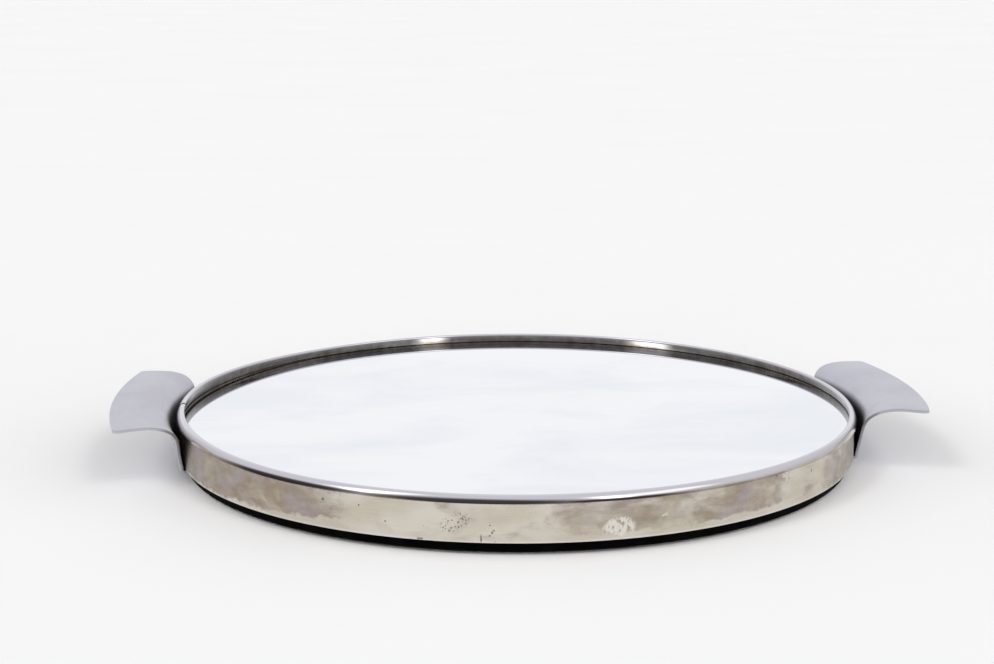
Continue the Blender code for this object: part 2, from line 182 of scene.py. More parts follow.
class Graph:
    """The node tree of one material or of the world, written as expressions."""

    def __init__(self, tree: bpy.types.NodeTree) -> None:
        """Empty the tree that is to be filled."""
        self.tree = tree
        tree.nodes.clear()

    def node(self, kind: str, settings: dict | None = None, sockets: dict | None = None) -> bpy.types.Node:
        """Add a node of any type.

        Args:
            kind: Blender's name of the node type.
            settings: Values of the node's own properties. The stops of a ramp are (position, colour) pairs.
            sockets: Values or wires for its inputs, by socket name or index.

        Returns:
            The new node.
        """
        node = self.tree.nodes.new(kind)
        for name, value in (settings or {}).items():
            if name == "stops":
                elements = node.color_ramp.elements
                while len(elements) < len(value):
                    elements.new(1.0)
                for element, (position, colour) in zip(elements, value):
                    element.position = position
                    element.color = (*colour, 1.0)
            else:
                setattr(node, name, value)
        for key, value in (sockets or {}).items():
            socket = node.inputs[key]
            if isinstance(value, Wire):
                self.tree.links.new(value.socket, socket)
            elif socket.type == "RGBA":
                socket.default_value = (*value, 1.0)
            else:
                socket.default_value = value
        return node

    def math(self, operation: str, *values: "Number | float") -> Number:
        """The result of a Math node with the given operation and values."""
        node = self.node("ShaderNodeMath", {"operation": operation}, dict(enumerate(values)))
        return Number(self, node.outputs[0])

    def place(self) -> Place:
        """The point being shaded, in the object's own space."""
        return Place(self, self.node("ShaderNodeTexCoord").outputs["Object"])

    def direction(self) -> Place:
        """The direction that is looked up in the world."""
        return Place(self, self.node("ShaderNodeTexCoord").outputs["Generated"])

    def stored(self, name: str) -> Number:
        """A number that the mesh holds at its vertices."""
        return Number(self, self.node("ShaderNodeAttribute", {"attribute_name": name}).outputs["Fac"])

    def join(self, x: Number | float, y: Number | float, z: Number | float) -> Place:
        """Make a vector of three numbers."""
        node = self.node("ShaderNodeCombineXYZ", sockets={"X": x, "Y": y, "Z": z})
        return Place(self, node.outputs["Vector"])

    def tint(self, colour: Colour) -> Tint:
        """A plain colour to start a mix from.

        Args:
            colour: The colour.

        Returns:
            The colour as an output socket.
        """
        node = self.node("ShaderNodeRGB")
        node.outputs[0].default_value = (*colour, 1.0)
        return Tint(self, node.outputs[0])

    def noise(self, where: Place, grain: float, detail: float = 3.0, roughness: float = 0.5,
              swirl: float = 0.0) -> Number:
        """Cloudy noise between about 0.25 and 0.75, with clouds of the size of the grain."""
        return Number(self, self._noise_node(where, grain, detail, roughness, swirl).outputs[0])

    def wander(self, where: Place, grain: float, reach: float) -> Place:
        """A vector that drifts by a small amount from place to place.

        Args:
            where: Point at which it is read.
            grain: Size of its clouds.
            reach: About the largest drift.

        Returns:
            The drift, centred on zero.
        """
        node = self._noise_node(where, grain, 3.0, 0.5, 0.0)
        drift = Place(self, node.outputs["Color"]) - (0.5, 0.5, 0.5)
        return drift * (4 * reach, 4 * reach, 4 * reach)

    def _noise_node(self, where: Place, grain: float, detail: float, roughness: float,
                    swirl: float) -> bpy.types.Node:
        """The Noise Texture node behind noise and wander, with its layers, their strength and the swirl."""
        return self.node("ShaderNodeTexNoise", {}, {"Vector": where, "Scale": 1.0 / grain, "Detail": detail,
                                                    "Roughness": roughness, "Distortion": swirl})

    def specks(self, where: Place, spacing: float) -> tuple[Number, Number]:
        """Scattered points.

        Args:
            where: Point at which they are read.
            spacing: Distance between neighbours.

        Returns:
            The distance to the nearest point in spacings, and a number from 0 to 1 that differs by point.
        """
        node = self.node("ShaderNodeTexVoronoi", {}, {"Vector": where, "Scale": 1.0 / spacing})
        chance, _, _ = Place(self, node.outputs["Color"]).split()
        return Number(self, node.outputs["Distance"]), chance

    def ramp(self, value: Number, stops: list[tuple[float, Colour]]) -> Tint:
        """The colour that a ramp of positions and colours has at a value from 0 to 1."""
        node = self.node("ShaderNodeValToRGB", {"stops": stops}, {"Fac": value})
        return Tint(self, node.outputs["Color"])

    def bump(self, height: Number, depth: float, strength: float = 1.0, below: Wire | None = None) -> Wire:
        """Turn a height into a shading normal.

        Args:
            height: The height, from about 0 to 1.
            depth: Real height of 1.
            strength: Share of the effect.
            below: Normal of a coarser bump that this one lies on.

        Returns:
            The normal.
        """
        sockets = {"Height": height, "Distance": depth, "Strength": strength}
        if below is not None:
            sockets["Normal"] = below
        return Wire(self, self.node("ShaderNodeBump", {}, sockets).outputs["Normal"])

    def surface(self, sockets: dict) -> None:
        """End the tree in a Principled shader.

        Args:
            sockets: Values or wires for its inputs, by name.
        """
        shader = self.node("ShaderNodeBsdfPrincipled", {}, sockets)
        output = self.node("ShaderNodeOutputMaterial")
        self.tree.links.new(shader.outputs[0], output.inputs["Surface"])


class Finish:
    """A finish of the tray or the studio, which knows how to fill the tree of its material."""

    name: str

    def make(self) -> bpy.types.Material:
        """Build the material.

        Returns:
            The material.
        """
        material = bpy.data.materials.new(self.name)
        material.use_nodes = True
        self.shade(Graph(material.node_tree))
        return material

    def shade(self, graph: Graph) -> None:
        """Fill the tree of the material, each finish in its own way."""
        raise NotImplementedError


@dataclass(frozen=True)
class Mark:
    """A stain, a worn spot or a group of pits on the wall of the rim, or a band of painted shade along the
    crease.
    """

    degrees: float
    height: float
    half_width: float
    half_height: float
    slant: float = 0.0


@dataclass(frozen=True)
class Zone:
    """State of the strip at an angle: tarnish, height of the bare stretch below it, and painted shade on the
    lip.
    """

    degrees: float
    tarnish: float
    bare: float
    dirt_and_painted_shade: float = 0.8


@dataclass(frozen=True)
class NickelPlate(Finish):
    """Old nickel plate on the rim: a polished bead over a wall with tarnish, pits and worn spots, and painted
    shade, highlight and reflection.
    """

    radius: float
    foot: float
    crease: float
    top: float
    name: str = "nickel_plate"
    clean: Colour = (0.660, 0.625, 0.550)
    dull: Colour = (0.560, 0.520, 0.425)
    bead_cool_reflection: Colour = (0.620, 0.610, 0.640)
    brown: Colour = (0.310, 0.250, 0.195)
    olive: Colour = (0.375, 0.325, 0.240)
    mauve: Colour = (0.345, 0.290, 0.292)
    bright_wear_and_highlight: Colour = (0.800, 0.765, 0.720)
    pit: Colour = (0.060, 0.050, 0.055)
    painted_shade_black: Colour = (0.034, 0.030, 0.030)
    wall_roughness: float = 0.24
    bead_roughness: float = 0.10
    bare_scale: float = 0.010
    cloud_grain: float = 0.013
    mottle_grain: float = 0.0042
    flake_grain: float = 0.0020
    streak_grain: float = 0.0005
    pit_spacing: float = 0.00090
    spot_spacing: float = 0.0015
    # The zones' last column is painted shade in the gap between the lip and the glass, left off where the
    # windows' glints fall.
    zones: tuple[Zone, ...] = (
        Zone(-180, 0.85, 0.0005), Zone(-150, 0.92, 0.0008), Zone(-138, 0.94, 0.0022),
        Zone(-128, 0.86, 0.0030), Zone(-123, 0.62, 0.0048), Zone(-119, 0.16, 0.0030),
        Zone(-112, 0.05, 0.0005), Zone(-96, 0.16, 0.0005), Zone(-90, 0.22, 0.0016),
        Zone(-86, 0.60, 0.0022), Zone(-81, 0.72, 0.0026), Zone(-76, 0.56, 0.0030),
        Zone(-70, 0.48, 0.0026), Zone(-60, 0.68, 0.0032), Zone(-52, 0.66, 0.0030),
        # The high tarnish from -34 to -20 degrees is partly real tarnish and partly painted shade, for the
        # shadowed floor that the wall reflects there.
        Zone(-47, 0.14, 0.0020), Zone(-41, 0.14, 0.0006), Zone(-34, 0.50, 0.0006),
        Zone(-20, 0.95, 0.0008), Zone(52, 0.35, 0.0010), Zone(55, 0.35, 0.0010, 0.0),
        Zone(60, 0.35, 0.0010, 0.0), Zone(63, 0.40, 0.0010), Zone(99, 0.50, 0.0012),
        Zone(101, 0.50, 0.0012, 0.0), Zone(104, 0.50, 0.0012, 0.0), Zone(106, 0.50, 0.0012),
        Zone(180, 0.85, 0.0005))
    stains: tuple[Mark, ...] = (Mark(-85.2, 0.0085, 0.0075, 0.0032), Mark(-71.5, 0.0090, 0.0085, 0.0040),
                                Mark(-56.5, 0.0080, 0.0130, 0.0046), Mark(-36.2, 0.0092, 0.0046, 0.0048),
                                Mark(-44.0, 0.0052, 0.0048, 0.0018), Mark(-126.5, 0.0090, 0.0120, 0.0050))
    worn: tuple[Mark, ...] = (Mark(-79.9, 0.0052, 0.0062, 0.0032), Mark(-72.6, 0.0080, 0.0016, 0.0006),
                              Mark(-47.0, 0.0100, 0.0075, 0.0050, -0.6))
    pitted: tuple[Mark, ...] = (Mark(-103.7, 0.0078, 0.0056, 0.0034, 0.35),)
    spotted: tuple[Mark, ...] = (Mark(-98.5, 0.0038, 0.0022, 0.0040), Mark(-75.4, 0.0137, 0.0022, 0.0010))
    dots: tuple[Mark, ...] = (Mark(-108.9, 0.0006, 0.0013, 0.0004), Mark(-99.9, 0.0018, 0.0003, 0.0017),
                              Mark(-124.6, 0.0115, 0.0006, 0.0005), Mark(-51.6, 0.0149, 0.0006, 0.0004),
                              Mark(-42.3, 0.0120, 0.0004, 0.0006), Mark(-114.2, 0.0062, 0.0003, 0.0003),
                              Mark(-118.4, 0.0113, 0.0003, 0.0004))
    # Painted dark bands on the lower bead along the crease: painted shade of the crease and painted
    # reflection of the dark room.
    painted_crease_shade: tuple[Mark, ...] = (Mark(-101.0, 0.01640, 0.0430, 0.00095),
                                   Mark(-132.0, 0.01648, 0.0380, 0.00080),
                                   Mark(-80.0, 0.01625, 0.0260, 0.00050))

    def near(self, flat: Place, mark: Mark) -> Number:
        """How far a point is from the middle of a mark.

        Args:
            flat: Point on the unrolled strip.
            mark: The mark.

        Returns:
            The distance, which is 1 at the mark's edge.
        """
        x, height, _ = flat.split()
        x = x - math.radians(mark.degrees) * self.radius
        height = height - mark.height - x * mark.slant
        return flat.graph.join(x * (1 / mark.half_width), height * (1 / mark.half_height), 0.0).length()

    def cover(self, flat: Place, marks: tuple[Mark, ...], edge: float = 0.2) -> Number:
        """A mask of several marks.

        Args:
            flat: Point on the unrolled strip.
            marks: The marks.
            edge: Width of their soft edges, as a share of their size.

        Returns:
            1 on the marks and 0 off them.
        """
        mask = self.near(flat, marks[0]).fall(1.0 - edge, 1.0 + edge)
        for mark in marks[1:]:
            mask = mask.most(self.near(flat, mark).fall(1.0 - edge, 1.0 + edge))
        return mask

    def state(self, angle: Number) -> tuple[Number, Number, Number]:
        """The state of the strip, read from its zones.

        Args:
            angle: Angle round the tray.

        Returns:
            The tarnish, the bare height as a share of its scale, and the painted shade on the lip.
        """
        stops = [((zone.degrees + 180) / 360, (zone.tarnish, zone.bare / self.bare_scale, zone.dirt_and_painted_shade))
                 for zone in self.zones]
        share = (angle + math.pi) / math.tau
        return Place(angle.graph, angle.graph.ramp(share, stops).socket).split()

    def rubbed(self, flat: Place, marks: tuple[Mark, ...]) -> Number:
        """A mask of marks where the film has come off in flakes.

        Args:
            flat: Point on the unrolled strip.
            marks: The marks.

        Returns:
            1 where the film is off and 0 where it holds.
        """
        torn = flat + flat.graph.wander(flat, 0.0022, 0.0012)
        flakes = flat.graph.noise(flat * (1.2, 0.7, 1.0), self.flake_grain, 4.0, 0.6)
        return self.cover(torn, marks, 0.25) * flakes.rise(0.40, 0.50)

    def tarnish(self, flat: Place, amount: Number, bare: Number) -> Number:
        """How deep the tarnish lies on the wall.

        Args:
            flat: Point on the unrolled strip.
            amount: How much of the wall has tarnished.
            bare: How high the bare stretch reaches, as a share of its scale.

        Returns:
            0 on bare plate, about 1 under the deepest film.
        """
        graph = flat.graph
        ragged = flat + graph.wander(flat, 0.0035, 0.0011)
        drifting = ragged + graph.wander(flat, 0.0120, 0.0020)
        _, height, _ = ragged.split()
        bare = bare * self.bare_scale
        clouds = graph.noise(flat * (0.7, 1.4, 1.0), self.cloud_grain, 7.0, 0.58, 0.3)
        level = 0.70 - 0.42 * amount
        film = clouds.rise(level - 0.15, level + 0.16)
        film = film.most(self.cover(drifting, self.stains, 0.55) * 0.62)
        film = film * height.rise(bare - 0.0005, bare + 0.0009)
        film = film * (1.0 - self.rubbed(flat, self.worn))
        mottle = graph.noise(flat * (0.6, 1.2, 1.0), self.mottle_grain, 6.0, 0.60)
        return film * (0.42 + 0.84 * mottle)

    def pits(self, flat: Place) -> Number:
        """A mask of the pits and dark spots in the wall.

        Args:
            flat: Point on the unrolled strip.

        Returns:
            1 in a pit and 0 off it.
        """
        shifted = flat + flat.graph.wander(flat, 0.0010, 0.00025)
        near, chance = flat.graph.specks(shifted, self.pit_spacing)
        fine = near.fall(0.26, 0.44) * chance.rise(0.12, 0.16) * self.cover(shifted, self.pitted)
        near, chance = flat.graph.specks(shifted, self.spot_spacing)
        coarse = near.fall(0.22, 0.34) * chance.rise(0.28, 0.32) * self.cover(shifted, self.spotted)
        strays = near.fall(0.08, 0.14) * chance.rise(0.94, 0.96)
        return fine.most(coarse).most(strays * 0.6).most(self.cover(shifted, self.dots))

    def shade(self, graph: Graph) -> None:
        """Fill the tree of the material.

        Args:
            graph: The tree.
        """
        x, y, _ = graph.place().split()
        z = graph.stored(REST_HEIGHT)
        across = graph.join(x, y, 0.0).length()
        angle = graph.math("ARCTAN2", y, x)
        amount, bare, dirt_and_painted_shade = self.state(angle)
        height = z - self.foot
        flat = graph.join(angle * self.radius, height, 0.0)
        outside = across.rise(self.radius - 0.0003, self.radius - 0.0001)
        inside = across.fall(self.radius - 0.0006, self.radius - 0.0004)
        on_bead = z.rise(self.crease - 0.0002, self.crease + 0.0002)

        tarnish = self.tarnish(flat, amount, bare) * z.fall(self.crease + 0.0004, self.crease + 0.0014)
        pits = self.pits(flat) * outside * z.fall(self.crease, self.crease + 0.0004)
        drift = graph.noise(flat * (0.5, 1.0, 1.0), 0.012, 5.0)
        streaks = graph.noise(flat * (0.03, 1.0, 1.0), self.streak_grain, 2.0)
        tint = graph.tint(self.clean).towards(self.dull, drift.rise(0.38, 0.64))
        # Polishing streaks, and a painted highlight along the bottom edge of the wall.
        tint = tint.towards(self.bright_wear_and_highlight, (streaks - 0.5).most(0.0) + 0.5 * height.fall(0.0004, 0.0012))
        hue = graph.noise(flat, self.cloud_grain, 4.0, 0.55)
        film = graph.tint(self.mauve).towards(self.brown, hue.rise(0.38, 0.52))
        film = film.towards(self.olive, hue.rise(0.54, 0.68))
        tint = tint.towards(film, tarnish)
        tint = tint.towards(self.bright_wear_and_highlight, self.rubbed(flat, self.worn[:1]) * 0.7)
        tint = tint.towards(self.pit, pits * 0.80)
        # Painted reflection: the bead is the same nickel as the wall, tinted cool for the cool wall it
        # mirrors.
        tint = tint.towards(self.bead_cool_reflection, z.rise(self.crease + 0.0004, self.crease + 0.0020))
        # Painted shade and painted dark reflection along the crease under the bead.
        tint = tint.towards(self.painted_shade_black, self.cover(flat, self.painted_crease_shade, 0.45) * outside * 0.96)
        # Painted shade of the dark gap between the lip and the glass, on the inside of the lip.
        lip = inside * z.fall(self.top - 0.0014, self.top - 0.0006)
        tint = tint.towards(self.painted_shade_black, lip * dirt_and_painted_shade * (0.70 + 0.5 * graph.noise(flat, 0.004, 4.0)))

        roughness = self.wall_roughness + 0.10 * tarnish + 0.08 * (streaks - 0.5)
        roughness = roughness + (self.bead_roughness - roughness) * on_bead
        swell = graph.bump(graph.noise(flat, 0.030, 1.0), 0.00010)
        dented = graph.bump(1.0 - pits + 0.05 * streaks, 0.00008, 0.7, swell)
        graph.surface({"Base Color": tint, "Roughness": roughness, "Metallic": 1.0 - 0.5 * pits,
                       "Normal": dented})


@dataclass(frozen=True)
class SatinPlate(Finish):
    """Satin plate on the handles, with fine rubbing marks, faint stains and painted shade in the crevice next
    to the hoop.
    """

    name: str = "satin_plate"
    base: Colour = (0.520, 0.517, 0.572)
    stained: Colour = (0.490, 0.480, 0.532)
    dirt_and_painted_shade: Colour = (0.030, 0.027, 0.030)
    roughness: float = 0.36
    cloud_grain: float = 0.022
    rub_grain: float = 0.0006

    def shade(self, graph: Graph) -> None:
        """Fill the tree of the material.

        Args:
            graph: The tree.
        """
        place = graph.place()
        clouds = graph.noise(place, self.cloud_grain, 5.0, 0.55, 0.4)
        rubbed = graph.noise(place * (1.0, 0.06, 1.0), self.rub_grain, 3.0)
        crevice = graph.stored(CREVICE_SHADE)
        tint = graph.tint(self.base).towards(self.stained, clouds.rise(0.40, 0.68))
        # Painted shade in the crevice next to the hoop.
        tint = tint.towards(self.dirt_and_painted_shade, crevice * (0.80 + 0.25 * clouds))
        roughness = self.roughness + 0.06 * (clouds - 0.5) + 0.10 * (rubbed - 0.5) + 0.2 * crevice
        graph.surface({"Base Color": tint, "Roughness": roughness, "Metallic": 1.0,
                       "Normal": graph.bump(rubbed, 0.00001, 0.5)})


@dataclass(frozen=True)
class MirrorGlass(Finish):
    """Silvered glass with a faint haze of wiping marks and dust; the haze's clouds also stand for a painted
    reflection of a cloudy wall, darker towards the left.
    """

    name: str = "mirror_glass"
    base: Colour = (0.895, 0.902, 0.925)
    hazed_and_reflected: Colour = (0.800, 0.825, 0.862)
    haze_grain: float = 0.050
    dust_spacing: float = 0.006

    def shade(self, graph: Graph) -> None:
        """Fill the tree of the material.

        Args:
            graph: The tree.
        """
        place = graph.place()
        x, _, _ = place.split()
        # Haze clouds: real wiping haze in the roughness, and in the colour also a painted reflection of a
        # cloudy wall, painted darker towards the left.
        haze_and_reflection = graph.noise(place * (0.6, 1.0, 1.0), self.haze_grain, 5.0, 0.55, 0.5)
        haze_and_reflection = haze_and_reflection + 0.08 * x.fall(-0.12, 0.02)
        dust, chance = graph.specks(place, self.dust_spacing)
        speck = dust.fall(0.03, 0.05) * chance.rise(0.80, 0.85)
        tint = graph.tint(self.base).towards(self.hazed_and_reflected, haze_and_reflection.rise(0.42, 0.70))
        roughness = 0.015 + 0.03 * haze_and_reflection.rise(0.45, 0.70) + 0.25 * speck
        graph.surface({"Base Color": tint, "Roughness": roughness, "Metallic": 1.0})


@dataclass(frozen=True)
class BlackLacquer(Finish):
    """Black lacquer on the plinth, with a little dust and the grain showing faintly."""

    name: str = "black_lacquer"
    base: Colour = (0.0007, 0.0006, 0.0006)
    dusty: Colour = (0.0022, 0.0018, 0.0018)
    dust_grain: float = 0.008
    wood_grain: float = 0.0012

    def shade(self, graph: Graph) -> None:
        """Fill the tree of the material.

        Args:
            graph: The tree.
        """
        place = graph.place()
        dust = graph.noise(place, self.dust_grain, 4.0)
        grain = graph.noise(place * (0.08, 1.0, 1.0), self.wood_grain, 3.0)
        tint = graph.tint(self.base).towards(self.dusty, dust.rise(0.45, 0.70))
        graph.surface({"Base Color": tint, "Roughness": 0.55 + 0.25 * (dust - 0.5),
                       "Specular IOR Level": 0.015, "Normal": graph.bump(grain, 0.00004, 0.5)})


@dataclass(frozen=True)
class BlackFelt(Finish):
    """Pressed felt: short fibres that lie every way."""

    name: str = "black_felt"
    base: Colour = (0.012, 0.012, 0.013)
    fibre: Colour = (0.034, 0.034, 0.036)
    nap_grain: float = 0.0006
    matting_grain: float = 0.006

    def shade(self, graph: Graph) -> None:
        """Fill the tree of the material.

        Args:
            graph: The tree.
        """
        place = graph.place()
        nap = graph.noise(place, self.nap_grain, 5.0, 0.7, 1.5)
        matting = graph.noise(place, self.matting_grain, 3.0)
        tint = graph.tint(self.base).towards(self.fibre, nap.rise(0.42, 0.64))
        graph.surface({"Base Color": tint, "Roughness": 0.90 + 0.08 * matting,
                       "Normal": graph.bump(nap + 0.5 * matting, 0.00025, 0.8)})


@dataclass(frozen=True)
class GreyCard(Finish):
    """Grey board behind the glass, with flecks of fibre."""

    name: str = "grey_card"
    base: Colour = (0.36, 0.33, 0.28)
    fleck: Colour = (0.24, 0.21, 0.17)
    pulp_grain: float = 0.0011
    fleck_spacing: float = 0.0022

    def shade(self, graph: Graph) -> None:
        """Fill the tree of the material.

        Args:
            graph: The tree.
        """
        place = graph.place()
        pulp = graph.noise(place, self.pulp_grain, 5.0, 0.65)
        near, chance = graph.specks(place * (1.0, 0.4, 1.0), self.fleck_spacing)
        tint = graph.tint(self.base).towards(self.fleck, near.fall(0.10, 0.25) * chance.rise(0.6, 0.7))
        graph.surface({"Base Color": tint, "Roughness": 0.85 + 0.12 * (pulp - 0.5),
                       "Normal": graph.bump(pulp, 0.00006, 0.6)})


@dataclass(frozen=True)
class BoardWood(Finish):
    """Plain softwood board with long growth rings."""

    name: str = "board_wood"
    early: Colour = (0.52, 0.36, 0.21)
    late: Colour = (0.34, 0.20, 0.10)
    ring_width: float = 0.0045
    pore_grain: float = 0.0007

    def shade(self, graph: Graph) -> None:
        """Fill the tree of the material.

        Args:
            graph: The tree.
        """
        place = graph.place()
        bent = place + graph.wander(place * (0.2, 1.0, 1.0), 0.05, 0.004)
        _, across, _ = bent.split()
        rings = graph.math("SINE", across * (math.tau / self.ring_width)) * 0.5 + 0.5
        pores = graph.noise(place * (0.05, 1.0, 1.0), self.pore_grain, 3.0)
        tint = graph.tint(self.early).towards(self.late, rings ** 3.0 * 0.8)
        tint = tint.towards(self.late, pores.rise(0.58, 0.70) * 0.5)
        graph.surface({"Base Color": tint, "Roughness": 0.62 + 0.2 * (pores - 0.5),
                       "Normal": graph.bump(pores, 0.00008, 0.5)})


@dataclass(frozen=True)
class Fastener(Finish):
    """Bare metal of a screw or a pin, with turning marks and a little dirt."""

    name: str
    base: Colour
    dirty: Colour
    roughness: float = 0.30
    dirt_grain: float = 0.0014
    turning_grain: float = 0.0002

    def shade(self, graph: Graph) -> None:
        """Fill the tree of the material.

        Args:
            graph: The tree.
        """
        place = graph.place()
        dirt_and_painted_shade = graph.noise(place, self.dirt_grain, 4.0, 0.6)
        turned = graph.noise(place * (0.15, 0.15, 1.0), self.turning_grain, 2.0)
        tint = graph.tint(self.base).towards(self.dirty, dirt_and_painted_shade.rise(0.48, 0.66))
        graph.surface({"Base Color": tint, "Roughness": self.roughness + 0.25 * dirt_and_painted_shade, "Metallic": 1.0,
                       "Normal": graph.bump(turned, 0.00002, 0.5)})


@dataclass(frozen=True)
class PaleTable(Finish):
    """Matt pale floor under the tray."""

    name: str = "pale_table"
    base: Colour = (0.925, 0.920, 0.925)
    shaded: Colour = (0.915, 0.910, 0.915)

    def shade(self, graph: Graph) -> None:
        """Fill the tree of the material.

        Args:
            graph: The tree.
        """
        tint = graph.tint(self.base).towards(self.shaded, graph.noise(graph.place(), 0.3, 2.0).rise(0.4, 0.6))
        graph.surface({"Base Color": tint, "Roughness": 0.8, "Specular IOR Level": 0.2})


def arc(centre: Point, radii: Point, start_degrees: float, end_degrees: float, steps: int) -> list[Point]:
    """Points along an elliptical arc of a section.

    Args:
        centre: Its centre, as a radius and a height.
        radii: Its half axes.
        start_degrees: Where it starts.
        end_degrees: Where it ends.
        steps: Number of steps.

    Returns:
        The points, both ends included.
    """
    points = []
    for k in range(steps + 1):
        angle = math.radians(start_degrees + (end_degrees - start_degrees) * k / steps)
        points.append((centre[0] + radii[0] * math.cos(angle), centre[1] + radii[1] * math.sin(angle)))
    return points


def chain(bm: bmesh.types.BMesh, points: list[Point], closed: bool) -> list:
    """Lay a section in the XZ plane, ready to be spun.

    Args:
        bm: Mesh that takes it.
        points: Its points, as a radius and a height.
        closed: Whether the last point joins the first.

    Returns:
        Its vertices and edges.
    """
    verts = [bm.verts.new((radius, 0.0, height)) for radius, height in points]
    pairs = list(zip(verts, verts[1:]))
    if closed:
        pairs.append((verts[-1], verts[0]))
    return verts + [bm.edges.new(pair) for pair in pairs]


def smooth(mesh: bpy.types.Mesh) -> None:
    """Shade a mesh smooth, with its edges kept sharp."""
    mesh.shade_smooth()
    mesh.set_sharp_from_angle(angle=math.radians(SHARP_DEGREES))


def added(name: str, data: bpy.types.ID) -> bpy.types.Object:
    """Add an object to the scene.

    Args:
        name: Its name.
        data: Its mesh, lamp or camera.

    Returns:
        The object.
    """
    item = bpy.data.objects.new(name, data)
    bpy.context.scene.collection.objects.link(item)
    return item


def finished(name: str, bm: bmesh.types.BMesh, material: bpy.types.Material | None) -> bpy.types.Object:
    """Turn a mesh under construction into an object at the origin.

    Args:
        name: The object's name.
        bm: The mesh, which is freed.
        material: Its finish.

    Returns:
        The object.
    """
    bmesh.ops.recalc_face_normals(bm, faces=bm.faces)
    mesh = bpy.data.meshes.new(name)
    bm.to_mesh(mesh)
    bm.free()
    smooth(mesh)
    if material is not None:
        mesh.materials.append(material)
    return added(name, mesh)


def seat(piece: bpy.types.Object, node: str) -> None:
    """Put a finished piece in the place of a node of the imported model.

    Args:
        piece: The piece.
        node: Name of the node.
    """
    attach(piece, "root")
    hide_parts(node)
    log.info("%s stands for %s with %d faces", piece.name, node, len(piece.data.polygons))


def settle(piece: bpy.types.Object) -> None:
    """Apply the modifiers of a piece to its mesh.

    Args:
        piece: The piece.
    """
    graph = bpy.context.evaluated_depsgraph_get()
    mesh = bpy.data.meshes.new_from_object(piece.evaluated_get(graph), preserve_all_data_layers=True,
                                           depsgraph=graph)
    piece.modifiers.clear()
    old = piece.data
    piece.data = mesh
    name = old.name
    bpy.data.meshes.remove(old)
    mesh.name = name


@dataclass(frozen=True)
class Sprung:
    """A stretch of the strip whose bead has sprung up, by one height at its start and another at its end."""

    start_degrees: float
    end_degrees: float
    start_lift: float
    end_lift: float


